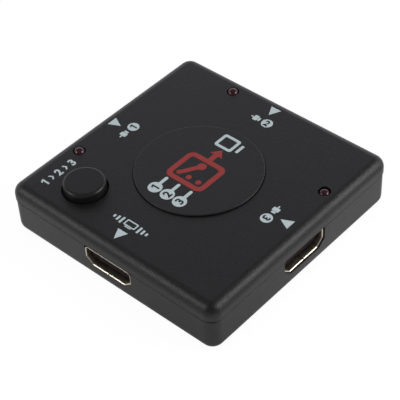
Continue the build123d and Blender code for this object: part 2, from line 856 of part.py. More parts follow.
small_body = chip_body(small_chip_length, small_chip_width, small_chip_height)
small_legs = small_chip_legs()
write("main_chip", chip_body(chip_width, chip_width, chip_height))
write("main_chip_legs", main_chip_legs())
memory_places = [behind_port(name, small_chip_x) for name in input_names]
controller_place = behind_port("output", small_chip_x)
write("memory_chips", [place * small_body for place in memory_places])
write("memory_chip_legs", [place * leg for place in memory_places for leg in small_legs])
write("controller_chip", controller_place * small_body)
write("controller_chip_legs", [controller_place * leg for leg in small_legs])
write("regulator", regulator_body())
write("regulator_legs", regulator_legs())

resistor_body, resistor_caps = passive(resistor_length, resistor_width, resistor_height)
capacitor_body, capacitor_caps = passive(capacitor_length, capacitor_width, capacitor_height)
write("resistors", [place * resistor_body for place in resistor_places()])
write("resistor_caps", [place * cap for place in resistor_places() for cap in resistor_caps])
write("ceramic_capacitors", [place * capacitor_body for place in capacitor_places()])
write("ceramic_capacitor_caps", [place * cap for place in capacitor_places() for cap in capacitor_caps])
write("can_capacitors", [place * can_body() for place in can_places()])
write("can_capacitor_bases", [place * can_base() for place in can_places()])
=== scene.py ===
"""Finishes, printed marks and studio for a small square video switch box.

Every place is in the frame of the construction: metres, +Z up, the origin at the centre of the underside.
The output socket looks along -Y, and inputs 3, 2 and 1 follow it in turn round the casing.
"""

import json
import math

import bmesh
import bpy
from bpy.props import FloatProperty, FloatVectorProperty, PointerProperty
from bpy.types import Operator, Panel, PropertyGroup
from mathutils import Matrix, Quaternion, Vector


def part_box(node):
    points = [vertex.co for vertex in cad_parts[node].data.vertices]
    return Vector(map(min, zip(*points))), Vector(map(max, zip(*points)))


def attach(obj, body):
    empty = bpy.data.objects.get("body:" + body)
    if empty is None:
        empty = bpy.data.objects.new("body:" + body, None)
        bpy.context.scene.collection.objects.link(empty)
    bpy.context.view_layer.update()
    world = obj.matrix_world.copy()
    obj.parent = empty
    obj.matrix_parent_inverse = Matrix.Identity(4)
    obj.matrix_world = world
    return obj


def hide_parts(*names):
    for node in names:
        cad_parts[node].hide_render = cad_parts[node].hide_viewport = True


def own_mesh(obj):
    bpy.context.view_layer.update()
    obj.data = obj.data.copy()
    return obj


bl_info = {
    "name": "Video Switch Box Finishes",
    "version": (1, 0, 0),
    "blender": (4, 5, 0),
    "location": "3D View > Sidebar > Switch Box",
    "description": "Finishes, printed marks and studio for a small square video switch box",
    "category": "Object",
}

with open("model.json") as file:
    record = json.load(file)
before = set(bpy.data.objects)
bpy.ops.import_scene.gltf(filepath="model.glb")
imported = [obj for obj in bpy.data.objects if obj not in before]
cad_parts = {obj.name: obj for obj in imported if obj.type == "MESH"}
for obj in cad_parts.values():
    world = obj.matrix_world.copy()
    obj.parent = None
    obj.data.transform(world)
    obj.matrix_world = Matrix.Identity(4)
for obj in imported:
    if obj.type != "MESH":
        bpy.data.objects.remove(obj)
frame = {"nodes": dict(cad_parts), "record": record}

MM = 0.001


def mm(*values):
    """Millimetres as metres."""
    return tuple(value * MM for value in values)


# How far round the casing each socket stands from the output, in degrees seen from above.
PORT_TURNS = {"output": 0, "input_3": 90, "input_2": 180, "input_1": 270}
INPUTS = [name for name in PORT_TURNS if name != "output"]
# The angle from which an edge is shaded sharp, and the gap below which two points are one.
SHARP_ANGLE = math.radians(32)
MERGE_GAP = 0.0005 * MM

# The lid's top and half width, and the disc's top, as the construction has them.
LID_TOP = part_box("top_shell")[1].z
HALF_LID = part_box("top_shell")[1].x
DISC_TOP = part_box("centre_disc")[1].z


def colour_setting(name, description, default):
    """A colour, shown as a swatch."""
    return FloatVectorProperty(name=name, description=description, subtype="COLOR", default=default)


def share_setting(name, description, default):
    """A share from nought to one, shown as a slider."""
    return FloatProperty(name=name, description=description, subtype="FACTOR", min=0, max=1, default=default)


def length_setting(name, description, default):
    """A length in metres, with up to six decimals shown."""
    kinds = {"subtype": "DISTANCE", "unit": "LENGTH"}
    return FloatProperty(name=name, description=description, default=default, precision=6, **kinds)


def angle_setting(name, description, degrees):
    """An angle, whose default is given in degrees."""
    kinds = {"subtype": "ANGLE", "unit": "ROTATION"}
    return FloatProperty(name=name, description=description, default=math.radians(degrees), **kinds)


def power_setting(name, description, default):
    """The power of a lamp, in watts."""
    return FloatProperty(name=name, description=description, unit="POWER", default=default)


class CasingSettings(PropertyGroup):
    plastic: colour_setting("Plastic", "Colour of the two shells", (0.005, 0.005, 0.0054))
    disc: colour_setting("Disc", "Colour of the raised disc", (0.0056, 0.0056, 0.0061))
    roughness: share_setting("Roughness", "Roughness of the textured plastic", 0.41)
    grain_size: length_setting("Grain Size", "Width of one grain of the moulded texture", 0.49 * MM)
    grain_depth: length_setting("Grain Depth", "Depth of the moulded texture", 0.115 * MM)


class ButtonSettings(PropertyGroup):
    plastic: colour_setting("Plastic", "Colour of the select button", (0.0115, 0.0115, 0.012))
    roughness: share_setting("Roughness", "Roughness of the button's cap", 0.28)


class SocketSettings(PropertyGroup):
    sheet: colour_setting("Sheet", "Colour of the folded sheet shells", (0.74, 0.67, 0.57))
    roughness: share_setting("Roughness", "Roughness of the folded sheet shells", 0.39)
    moulding: colour_setting("Moulding", "Colour of the insulators and their tongues", (0.022, 0.013, 0.012))


class LampSettings(PropertyGroup):
    resin: colour_setting("Resin", "Colour of the unlit lamps", (0.031, 0.0042, 0.0085))


class MarkSettings(PropertyGroup):
    pale: colour_setting("Pale Ink", "Colour of the pale printed marks", (0.55, 0.64, 0.67))
    red: colour_setting("Red Ink", "Colour of the red printed marks", (0.31, 0.037, 0.036))
    ink_height: length_setting("Ink Height", "How far the ink stands above the plastic", 0.02 * MM)
    arrow_length: length_setting("Arrow Length", "Length of an arrow head, from base to tip", 3.1 * MM)
    arrow_width: length_setting("Arrow Width", "Width of an arrow head at its base", 3.05 * MM)
    number_radius: length_setting("Number Radius", "Radius of the disc round an input's number", 1.52 * MM)


class StudioSettings(PropertyGroup):
    azimuth: angle_setting("Azimuth", "Turn of the camera round the box, zero looks along +Y", 43.9472)
    elevation: angle_setting("Elevation", "Height of the camera above the horizon", 43.7436)
    roll: angle_setting("Roll", "Turn of the camera about its own line of sight", -3.52)
    distance: length_setting("Distance", "Distance of the camera from the point it aims at", 325.769 * MM)
    lens: FloatProperty(
        name="Lens", description="Focal length of the camera", unit="CAMERA", default=121.078
    )
    left_power: power_setting("Left Power", "Power of the lamp on the output side", 0.86)
    right_power: power_setting("Right Power", "Power of the lamp by input 3", 1.66)
    top_power: power_setting("Top Power", "Power of the overhead lamp", 1.3)
    ambient: share_setting("Ambient", "Strength of the even light from all round", 0.25)


def add_node(tree, kind, sockets=None, **settings):
    """A node with its settings, whose inputs take values or the outputs of other nodes."""
    node = tree.nodes.new(kind)
    for key, value in settings.items():
        setattr(node, key, value)
    for key, value in (sockets or {}).items():
        if isinstance(value, bpy.types.NodeSocket):
            tree.links.new(value, node.inputs[key])
        else:
            node.inputs[key].default_value = value
    return node


def empty_tree(holder):
    """The node tree of a new material or world, with nothing in it."""
    holder.use_nodes = True
    holder.node_tree.nodes.clear()
    return holder.node_tree


def new_material(name, sockets):
    """A material with one Principled shader whose sockets are set: the material, its tree and the shader."""
    material = bpy.data.materials.new(name)
    tree = empty_tree(material)
    shader = add_node(tree, "ShaderNodeBsdfPrincipled", sockets)
    add_node(tree, "ShaderNodeOutputMaterial", {"Surface": shader.outputs["BSDF"]})
    return material, tree, shader


def rgba(colour, factor=1.0):
    """A colour with alpha, made lighter or darker by a factor."""
    return (*[channel * factor for channel in colour], 1)


def blend_colours(tree, mask, low, high):
    """Between two colours by a mask."""
    # A Mix node names its sockets alike for each kind of value: these are the ones for colours.
    sockets = {"Factor": mask, 6: low, 7: high}
    return add_node(tree, "ShaderNodeMix", sockets, data_type="RGBA").outputs[2]


def blend_values(tree, mask, low, high, first=0.0, last=1.0):
    """Between two numbers, as a mask goes from its first value to its last."""
    sockets = {"Value": mask, "From Min": first, "From Max": last, "To Min": low, "To Max": high}
    return add_node(tree, "ShaderNodeMapRange", sockets).outputs["Result"]


def calculate(tree, operation, *values):
    """The result of one sum on numbers or on the outputs of other nodes."""
    return add_node(tree, "ShaderNodeMath", dict(enumerate(values)), operation=operation).outputs[0]


def shader_group(name, inputs, outputs):
    """A new shader group with float inputs and outputs, and its two end nodes."""
    tree = bpy.data.node_groups.new(name, "ShaderNodeTree")
    for label, default in inputs.items():
        socket = tree.interface.new_socket(name=label, in_out="INPUT", socket_type="NodeSocketFloat")
        socket.default_value = default
    for label in outputs:
        tree.interface.new_socket(name=label, in_out="OUTPUT", socket_type="NodeSocketFloat")
    return tree, tree.nodes.new("NodeGroupInput"), tree.nodes.new("NodeGroupOutput")


def place_group(tree, build, sockets):
    """A shader group's node with its inputs; the group is built where it is first placed."""
    group = bpy.data.node_groups.get(build.__name__) or build()
    return add_node(tree, "ShaderNodeGroup", sockets, node_tree=group)


def object_place(tree):
    """A point's place in the shared frame, the same in every view."""
    return add_node(tree, "ShaderNodeTexCoord").outputs["Object"]


def noise_of_size(tree, place, size, detail):
    """Noise whose features have a size in metres."""
    sockets = {"Vector": place, "Scale": calculate(tree, "DIVIDE", 1.0, size), "Detail": detail}
    return add_node(tree, "ShaderNodeTexNoise", sockets).outputs["Fac"]


# Moulded grain: its finer part as a share of its size, and the noise that its two masks spread out.
FINER_SHARE = 0.45
GRAIN_SHADING_NOISE = (0.38, 0.62)
BLOTCH_NOISE = (0.3, 0.7)


def moulded_grain():
    """Spark-eroded mould texture: a fine grain as height, a mask of painted light and shade that is lighter
    on the raised grains, and a slow random change of tone.
    """
    inputs = {"Grain Size": 0.3 * MM, "Blotch Size": 12 * MM}
    tree, start, end = shader_group("moulded_grain", inputs, ["Height", "Grain Shading", "Blotch"])
    place = object_place(tree)
    size = start.outputs["Grain Size"]
    coarse = noise_of_size(tree, place, size, 2.0)
    fine = noise_of_size(tree, place, calculate(tree, "MULTIPLY", size, FINER_SHARE), 1.0)
    height = calculate(tree, "MULTIPLY", calculate(tree, "ADD", coarse, fine), 0.5)
    blotch = noise_of_size(tree, place, start.outputs["Blotch Size"], 3.0)
    tree.links.new(height, end.inputs["Height"])
    tree.links.new(blend_values(tree, height, 0.0, 1.0, *GRAIN_SHADING_NOISE), end.inputs["Grain Shading"])
    tree.links.new(blend_values(tree, blotch, 0.0, 1.0, *BLOTCH_NOISE), end.inputs["Blotch"])
    return tree


# Rolled sheet: the noise that the streaks' mask spreads out, and how much longer than wide a streak is.
STREAK_NOISE = (0.35, 0.65)
STREAK_STRETCH = 14.0


def rolled_lines():
    """Rolling lines of sheet metal: fine streaks along X and along Y, as height and as a mask."""
    inputs = {"Line Size": 0.1 * MM, "Stretch": STREAK_STRETCH}
    tree, start, end = shader_group("rolled_lines", inputs, ["Height", "Streak"])
    share = calculate(tree, "DIVIDE", 1.0, start.outputs["Stretch"])
    squeeze = add_node(tree, "ShaderNodeCombineXYZ", {0: share, 1: share, 2: 1.0}).outputs[0]
    drawn = {0: object_place(tree), 1: squeeze}
    drawn = add_node(tree, "ShaderNodeVectorMath", drawn, operation="MULTIPLY").outputs["Vector"]
    streak = noise_of_size(tree, drawn, start.outputs["Line Size"], 2.0)
    tree.links.new(streak, end.inputs["Height"])
    tree.links.new(blend_values(tree, streak, 0.0, 1.0, *STREAK_NOISE), end.inputs["Streak"])
    return tree


# The lean from which a face counts as a round, where lean is its upward part times one less that part.
ROUND_LEAN = 0.15


def relief_on_rounds():
    """Relief that is whole on the rounds and keeps a share of its height on level and upright faces."""
    inputs = {"Height": 0.5, "Flat Share": 0.5}
    tree, start, end = shader_group("relief_on_rounds", inputs, ["Height"])
    normal = add_node(tree, "ShaderNodeNewGeometry").outputs["Normal"]
    upward = add_node(tree, "ShaderNodeSeparateXYZ", {0: normal}).outputs["Z"]
    upward = calculate(tree, "ABSOLUTE", upward)
    lean = calculate(tree, "MULTIPLY", upward, calculate(tree, "SUBTRACT", 1.0, upward))
    share = blend_values(tree, lean, start.outputs["Flat Share"], 1.0, 0.0, ROUND_LEAN)
    relief = calculate(tree, "MULTIPLY", start.outputs["Height"], share)
    tree.links.new(relief, end.inputs["Height"])
    return tree


def depth_behind_walls():
    """How far a point lies behind the nearest wall: nought at the first depth, one at the second."""
    inputs = {"Wall": 30 * MM, "First Depth": 0.0, "Second Depth": 1 * MM}
    tree, start, end = shader_group("depth_behind_walls", inputs, ["Depth"])
    far = add_node(tree, "ShaderNodeVectorMath", {0: object_place(tree)}, operation="ABSOLUTE")
    split = add_node(tree, "ShaderNodeSeparateXYZ", {0: far.outputs["Vector"]})
    out = calculate(tree, "MAXIMUM", split.outputs["X"], split.outputs["Y"])
    inward = calculate(tree, "SUBTRACT", start.outputs["Wall"], out)
    ends = (start.outputs["First Depth"], start.outputs["Second Depth"])
    tree.links.new(blend_values(tree, inward, 0.0, 1.0, *ends), end.inputs["Depth"])
    return tree


def set_colour(tree, shader, mask, low, high):
    """Base colour between two colours by a mask."""
    tree.links.new(blend_colours(tree, mask, low, high), shader.inputs["Base Color"])


def set_roughness(tree, shader, mask, low, high):
    """Roughness between two numbers by a mask."""
    tree.links.new(blend_values(tree, mask, low, high), shader.inputs["Roughness"])


def set_relief(tree, shader, height, depth):
    """A height between nought and one, as relief of a depth in metres."""
    bump = add_node(tree, "ShaderNodeBump", {"Strength": 1.0, "Distance": depth, "Height": height})
    tree.links.new(bump.outputs["Normal"], shader.inputs["Normal"])


# Plastics: the size of a blotch, how far the gloss changes, and what flat faces keep of the relief.
PLASTIC_BLOTCH = 14 * MM
PLASTIC_GLOSS_CHANGE = 0.03
PLASTIC_FLAT_SHARE = 0.55


def plastic_material(name, colour, roughness, grain_size, grain_depth, grain_shading=0.22, sheen=0.5):
    """Moulded plastic with a fine grain, the grain's own tone with painted highlight on its raised grains
    and painted shade in its pits, and an uneven gloss.
    """
    material, tree, shader = new_material(name, {"IOR": 1.49, "Specular IOR Level": sheen})
    grain = place_group(tree, moulded_grain, {"Grain Size": grain_size, "Blotch Size": PLASTIC_BLOTCH})
    # Painted light and shade on the grain: raised grains lighter, pits darker, by the given share each way.
    set_colour(tree, shader, grain.outputs["Grain Shading"], rgba(colour, 1 - grain_shading), rgba(colour, 1 + grain_shading))
    gloss = (roughness - PLASTIC_GLOSS_CHANGE, roughness + PLASTIC_GLOSS_CHANGE)
    set_roughness(tree, shader, grain.outputs["Blotch"], *gloss)
    relief = {"Height": grain.outputs["Height"], "Flat Share": PLASTIC_FLAT_SHARE}
    relief = place_group(tree, relief_on_rounds, relief)
    set_relief(tree, shader, relief.outputs["Height"], grain_depth)
    return material


def dull_with_depth(tree, tint, first, second, dark):
    """Painted shade inside a socket: a tint that falls to a dark share of itself between two depths."""
    inputs = {"Wall": HALF_LID, "First Depth": first, "Second Depth": second}
    depth = place_group(tree, depth_behind_walls, inputs).outputs["Depth"]
    depth_shade = {0: tint, "Scale": blend_values(tree, depth, 1.0, dark)}
    return add_node(tree, "ShaderNodeVectorMath", depth_shade, operation="SCALE").outputs["Vector"]


# Sheet metal: how dark a streak is, and how far it makes the sheet smoother or rougher.
STREAK_SHADE = 0.9
STREAK_GLOSS = (-0.05, 0.06)


def sheet_material(name, colour, roughness, line_size=0.08 * MM, depth=0.0015 * MM, depth_shade=None):
    """Plated or tinned sheet with rolling lines; a painted shade inside a socket takes two depths and the
    dark share between them.
    """
    material, tree, shader = new_material(name, {"Metallic": 1.0})
    lines = place_group(tree, rolled_lines, {"Line Size": line_size, "Stretch": STREAK_STRETCH})
    streak = lines.outputs["Streak"]
    tint = blend_colours(tree, streak, rgba(colour, STREAK_SHADE), rgba(colour))
    # Painted shade: the sheet's colour darkens the deeper it lies inside a socket.
    if depth_shade:
        tint = dull_with_depth(tree, tint, *depth_shade)
    tree.links.new(tint, shader.inputs["Base Color"])
    set_roughness(tree, shader, streak, *[roughness + change for change in STREAK_GLOSS])
    set_relief(tree, shader, lines.outputs["Height"], depth)
    return material


def resin_material(name, colour):
    """Dark lamp resin with a polished surface and a slow change of shade."""
    shade = (0.75, 1.3)
    material, tree, shader = new_material(name, {"Roughness": 0.07, "IOR": 1.5})
    grain = place_group(tree, moulded_grain, {"Grain Size": 0.5 * MM, "Blotch Size": 1.4 * MM})
    set_colour(tree, shader, grain.outputs["Blotch"], *[rgba(colour, factor) for factor in shade])
    return material


def ink_material(name, colour):
    """Screen-printed ink with a faint grain from the plastic under it, partly uneven print and partly
    painted light and shade.
    """
    shade = (0.88, 1.06)
    gloss = (0.5, 0.6)
    relief = 0.008 * MM
    material, tree, shader = new_material(name, {"IOR": 1.45})
    grain = place_group(tree, moulded_grain, {"Grain Size": 0.3 * MM, "Blotch Size": 6 * MM})
    # The ink's tone follows the grain under it: partly uneven print, partly painted light and shade.
    set_colour(tree, shader, grain.outputs["Grain Shading"], *[rgba(colour, factor) for factor in shade])
    set_roughness(tree, shader, grain.outputs["Blotch"], *gloss)
    set_relief(tree, shader, grain.outputs["Height"], relief)
    return material


def board_material(name):
    """Green lacquer over copper tracks: straight runs and pour, a little lighter than the bare laminate."""
    track_colour = (0.022, 0.12, 0.05, 1)
    bare_colour = (0.012, 0.06, 0.028, 1)
    track_pitch = 2.6 * MM
    track_relief = 0.03 * MM
    gloss = (0.28, 0.4)
    material, tree, shader = new_material(name, {"IOR": 1.5, "Coat Weight": 0.4, "Coat Roughness": 0.15})
    runs = {"Vector": object_place(tree), "Scale": 1 / track_pitch, "Mortar Size": 0.09}
    runs.update({"Brick Width": 1.9, "Row Height": 0.32})
    tracks = add_node(tree, "ShaderNodeTexBrick", runs).outputs["Fac"]
    set_colour(tree, shader, tracks, track_colour, bare_colour)
    grain = place_group(tree, moulded_grain, {"Grain Size": 0.4 * MM, "Blotch Size": 8 * MM})
    set_roughness(tree, shader, grain.outputs["Blotch"], *gloss)
    set_relief(tree, shader, tracks, track_relief)
    return material


def plain_mesh(node):
    """A CAD node's mesh with its loose triangles joined, as a new mesh."""
    work = bmesh.new()
    work.from_mesh(frame["nodes"][node].data)
    bmesh.ops.remove_doubles(work, verts=work.verts, dist=MERGE_GAP)
    work.verts.index_update()
    points = [tuple(vertex.co) for vertex in work.verts]
    faces = [tuple(vertex.index for vertex in face.verts) for face in work.faces]
    work.free()
    mesh = bpy.data.meshes.new(node + "_finish")
    mesh.from_pydata(points, [], faces)
    mesh.update()
    return mesh


def link_object(name, mesh):
    """A new object in the scene, at the origin."""
    piece = bpy.data.objects.new(name, mesh)
    bpy.context.scene.collection.objects.link(piece)
    return piece


def flatten_modifiers(piece):
    """The piece's mesh as its modifiers leave it, with no modifier left."""
    graph = bpy.context.evaluated_depsgraph_get()
    mesh = bpy.data.meshes.new_from_object(piece.evaluated_get(graph))
    piece.modifiers.clear()
    piece.data = mesh


def body_of_node(node):
    """The body that a node rides on."""
    bodies = frame["record"]["behaviour"]["bodies"]
    return next(body for body, nodes in bodies.items() if node in nodes)


def smooth_piece(node, material):
    """A node's own shape with soft shading on its rounds, standing for the node."""
    mesh = plain_mesh(node)
    mesh.shade_smooth()
    mesh.set_sharp_from_angle(angle=SHARP_ANGLE)
    piece = link_object(node + "_finish", mesh)
    piece.data.materials.append(material)
    weighted = piece.modifiers.new("weighted", "WEIGHTED_NORMAL")
    weighted.mode = "FACE_AREA"
    weighted.weight = 50
    weighted.keep_sharp = True
    flatten_modifiers(piece)
    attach(piece, body_of_node(node))
    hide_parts(node)
    return piece


def paint(node, material):
    """A better material on a node that keeps its own mesh."""
    piece = frame["nodes"][node]
    for holder in piece.material_slots:
        holder.material = material


def place_on(point, turn, height):
    """From a print's own plane to its place on the lid or the disc."""
    return Matrix.Translation((*point, height)) @ Matrix.Rotation(turn, 4, "Z")


def port_point(name, side, out):
    """A point on the lid, sideways and outwards as seen from a named socket's own side."""
    turn = math.radians(PORT_TURNS[name])
    return Matrix.Rotation(turn, 2) @ Vector((side, -out))


# How much higher each further layer of a print stands, as a share of the ink's height.
LAYER_SHARE = 0.15


def add_slab(work, outline, height, layer=0):
    """A thin printed shape from a closed outline, sunk a little; a further layer stands a little higher."""
    height *= 1 + LAYER_SHARE * layer
    low = [work.verts.new((x, y, -height / 2)) for x, y in outline]
    high = [work.verts.new((x, y, height)) for x, y in outline]
    work.faces.new(list(reversed(low)))
    work.faces.new(high)
    count = len(outline)
    for i in range(count):
        j = (i + 1) % count
        work.faces.new((low[i], low[j], high[j], high[i]))


def add_band(work, outer, inner, height):
    """A thin printed band between two outlines with as many points."""
    rings = [
        [work.verts.new((x, y, z)) for x, y in outline]
        for outline in (outer, inner)
        for z in (-height / 2, height)
    ]
    outer_low, outer_high, inner_low, inner_high = rings
    count = len(outer)
    for i in range(count):
        j = (i + 1) % count
        work.faces.new((outer_low[i], outer_low[j], outer_high[j], outer_high[i]))
        work.faces.new((outer_high[i], outer_high[j], inner_high[j], inner_high[i]))
        work.faces.new((inner_high[i], inner_high[j], inner_low[j], inner_low[i]))
        work.faces.new((inner_low[i], inner_low[j], outer_low[j], outer_low[i]))


def circle_outline(x, y, radius, steps=40):
    """A round outline."""
    turns = [2 * math.pi * i / steps for i in range(steps)]
    return [(x + radius * math.cos(turn), y + radius * math.sin(turn)) for turn in turns]


def rounded_outline(x, y, width, height, radius, steps=5):
    """A rectangle's outline with round corners."""
    points = []
    for quarter, (sx, sy) in enumerate(((1, 1), (-1, 1), (-1, -1), (1, -1))):
        middle_x = x + sx * (width / 2 - radius)
        middle_y = y + sy * (height / 2 - radius)
        for i in range(steps + 1):
            turn = math.pi / 2 * (quarter + i / steps)
            points.append((middle_x + radius * math.cos(turn), middle_y + radius * math.sin(turn)))
    return points


def stroke_outline(start, end, width, steps=8):
    """A straight stroke with round ends."""
    line = Vector(end) - Vector(start)
    lean = math.atan2(line.y, line.x)
    points = []
    for middle, first in ((end, lean - math.pi / 2), (start, lean + math.pi / 2)):
        for i in range(steps + 1):
            turn = first + math.pi * i / steps
            points.append((middle[0] + width / 2 * math.cos(turn), middle[1] + width / 2 * math.sin(turn)))
    return points


# How far a chevron's tip reaches beyond its ends, as a share of half its height.
CHEVRON_REACH_SHARE = 0.62


def chevron_outline(x, y, height, width):
    """A chevron that points along +X, at about the slant of an arrow head."""
    half = height / 2
    reach = half * CHEVRON_REACH_SHARE
    x -= width / 2
    return [
        (x - reach / 2, y + half),
        (x - reach / 2 + width, y + half),
        (x + reach / 2 + width, y),
        (x - reach / 2 + width, y - half),
        (x - reach / 2, y - half),
        (x + reach / 2, y),
    ]


# The number 1, as parts of its height.
ONE_OUTLINE = [
    (-0.02, -0.5),
    (0.18, -0.5),
    (0.18, 0.5),
    (0.02, 0.5),
    (-0.26, 0.32),
    (-0.26, 0.13),
    (-0.02, 0.26),
]


def mesh_of(name, work):
    """A new mesh from a shape in the making, which is freed."""
    mesh = bpy.data.meshes.new(name)
    work.to_mesh(mesh)
    work.free()
    return mesh


def join_mesh(work, mesh, matrix):
    """A mesh joined to a print, at its place."""
    mesh.transform(matrix)
    work.from_mesh(mesh)
    bpy.data.meshes.remove(mesh)


def numeral_mesh(text, height, ink_height, bold=0.035):
    """A plain number as a thin solid, of a given height, centred on the origin."""
    curve = bpy.data.curves.new("numeral", "FONT")
    curve.body = text
    curve.offset = bold
    curve.extrude = 0.5
    curve.resolution_u = 4
    holder = link_object("numeral", curve)
    graph = bpy.context.evaluated_depsgraph_get()
    mesh = bpy.data.meshes.new_from_object(holder.evaluated_get(graph))
    bpy.data.objects.remove(holder)
    xs = [vertex.co.x for vertex in mesh.vertices]
    ys = [vertex.co.y for vertex in mesh.vertices]
    scale = height / (max(ys) - min(ys))
    middle = Vector(((max(xs) + min(xs)) / 2, (max(ys) + min(ys)) / 2, 0))
    for vertex in mesh.vertices:
        flat = (vertex.co - middle) * scale
        vertex.co = (flat.x, flat.y, ink_height if vertex.co.z > 0 else -ink_height / 2)
    return mesh


def one_mesh(height, ink_height):
    """The number 1 with a flag, as a thin solid of a given height, centred on the origin."""
    shape = bmesh.new()
    add_slab(shape, [(x * height, y * height) for x, y in ONE_OUTLINE], ink_height)
    return mesh_of("numeral", shape)


def add_numeral(work, text, height, ink_height, matrix):
    """A plain number joined to a print."""
    mesh = one_mesh(height, ink_height) if text == "1" else numeral_mesh(text, height, ink_height)
    join_mesh(work, mesh, matrix)


def finish_print(name, work, material, matrix=None):
    """A print as a piece on the casing, with its faces turned outwards."""
    if matrix is not None:
        work.transform(matrix)
    bmesh.ops.remove_doubles(work, verts=work.verts, dist=MERGE_GAP)
    bmesh.ops.recalc_face_normals(work, faces=work.faces)
    mesh = mesh_of(name, work)
    mesh.materials.append(material)
    piece = link_object(name, mesh)
    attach(piece, "casing")
    return piece


# Printed marks: the gap from the lid's edge to each, and how far numbers and plugs stand to one side.
ARROW_EDGE_GAP = 3.2 * MM
OUTPUT_ARROW_EDGE_GAP = 3.0 * MM
NUMBER_EDGE_GAP = 9.05 * MM
NUMBER_SIDE = -1.72 * MM
PLUG_SIDE = 1.72 * MM
# Input 3's marks are printed a little further to one side, and further in.
SIDE_SHIFTS = {"input_3": -0.72 * MM}
EDGE_SHIFTS = {"input_3": 0.55 * MM}


def mark_point(name, side, edge_gap):
    """A mark's place on the lid."""
    out = HALF_LID - (edge_gap + EDGE_SHIFTS.get(name, 0))
    return port_point(name, side + SIDE_SHIFTS.get(name, 0), out)


def mark_tree():
    """Geometry Nodes: an arrow head or a disc of ink at each point, turned by the point's own turn."""
    tree = bpy.data.node_groups.new("printed_marks", "GeometryNodeTree")
    tree.interface.new_socket(name="Points", in_out="INPUT", socket_type="NodeSocketGeometry")
    for label in ("Arrow Length", "Arrow Width", "Disc Radius", "Ink Height"):
        tree.interface.new_socket(name=label, in_out="INPUT", socket_type="NodeSocketFloat")
    tree.interface.new_socket(name="Ink", in_out="INPUT", socket_type="NodeSocketMaterial")
    tree.interface.new_socket(name="Marks", in_out="OUTPUT", socket_type="NodeSocketGeometry")
    start = tree.nodes.new("NodeGroupInput")
    end = tree.nodes.new("NodeGroupOutput")
    depth = start.outputs["Ink Height"]
    # A three-sided cylinder of radius one is 1.5 long from base to tip, and its base is the root of 3 wide.
    head = add_node(tree, "GeometryNodeMeshCylinder", {"Vertices": 3, "Radius": 1.0, "Depth": 1.0})
    long = calculate(tree, "DIVIDE", start.outputs["Arrow Length"], 1.5)
    wide = calculate(tree, "DIVIDE", start.outputs["Arrow Width"], math.sqrt(3))
    size = add_node(tree, "ShaderNodeCombineXYZ", {0: long, 1: wide, 2: depth})
    arrow = {"Geometry": head.outputs["Mesh"], "Scale": size.outputs[0]}
    arrow = add_node(tree, "GeometryNodeTransform", arrow)
    disc = {"Vertices": 48, "Radius": start.outputs["Disc Radius"], "Depth": depth}
    disc = add_node(tree, "GeometryNodeMeshCylinder", disc)
    turn = add_node(tree, "GeometryNodeInputNamedAttribute", {"Name": "turn"}, data_type="FLOAT")
    turned = add_node(tree, "ShaderNodeCombineXYZ", {2: turn.outputs["Attribute"]})
    is_disc = add_node(tree, "GeometryNodeInputNamedAttribute", {"Name": "is_disc"}, data_type="BOOLEAN")
    is_arrow = add_node(tree, "FunctionNodeBooleanMath", {0: is_disc.outputs["Attribute"]}, operation="NOT")
    join = tree.nodes.new("GeometryNodeJoinGeometry")
    for shape, chosen in ((arrow, is_arrow.outputs[0]), (disc, is_disc.outputs["Attribute"])):
        sockets = {
            "Points": start.outputs["Points"],
            "Selection": chosen,
            "Instance": shape.outputs[0],
            "Rotation": turned.outputs[0],
        }
        copies = add_node(tree, "GeometryNodeInstanceOnPoints", sockets)
        tree.links.new(copies.outputs[0], join.inputs[0])
    real = add_node(tree, "GeometryNodeRealizeInstances", {0: join.outputs[0]})
    sockets = {"Geometry": real.outputs[0], "Material": start.outputs["Ink"]}
    inked = add_node(tree, "GeometryNodeSetMaterial", sockets)
    tree.links.new(inked.outputs[0], end.inputs["Marks"])
    return tree


def set_modifier_inputs(modifier, values):
    """A Geometry Nodes modifier's inputs, by each socket's identifier."""
    for item in modifier.node_group.interface.items_tree:
        if item.item_type == "SOCKET" and item.in_out == "INPUT" and item.name in values:
            modifier[item.identifier] = values[item.name]


class SWITCHBOX_OT_casing(Operator):
    """Finish the two shells and the raised disc"""

    bl_idname = "switch_box.finish_casing"
    bl_label = "Casing"

    def execute(self, context):
        look = context.scene.switch_box_casing
        # The casing's grain carries strong painted highlight and painted shade, seven tenths each way.
        grain = {"grain_size": look.grain_size, "grain_depth": look.grain_depth, "grain_shading": 0.7}
        shell = plastic_material("case_plastic_look", look.plastic, look.roughness, **grain)
        smooth_piece("top_shell", shell)
        smooth_piece("bottom_shell", shell)
        disc = plastic_material("disc_plastic_look", look.disc, look.roughness, **grain)
        smooth_piece("centre_disc", disc)
        return {"FINISHED"}


class SWITCHBOX_OT_button(Operator):
    """Finish the select button"""

    bl_idname = "switch_box.finish_button"
    bl_label = "Select Button"

    def execute(self, context):
        look = context.scene.switch_box_button
        # The button's grain carries faint painted highlight and painted shade, a tenth each way.
        grain = {"grain_size": 0.28 * MM, "grain_depth": 0.012 * MM, "grain_shading": 0.1, "sheen": 0.36}
        cap = plastic_material("button_plastic_look", look.plastic, look.roughness, **grain)
        smooth_piece("select_button", cap)
        return {"FINISHED"}


class SWITCHBOX_OT_dome(Operator):
    """Finish the snap dome under the button, which flattens as the button is pressed"""

    bl_idname = "switch_box.finish_dome"
    bl_label = "Snap Dome"

    def execute(self, context):
        lines = {"line_size": 0.05 * MM, "depth": 0.0005 * MM}
        spring = sheet_material("spring_steel_look", (0.66, 0.66, 0.65), roughness=0.24, **lines)
        dome = smooth_piece("switch_dome", spring)
        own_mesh(dome)
        return {"FINISHED"}


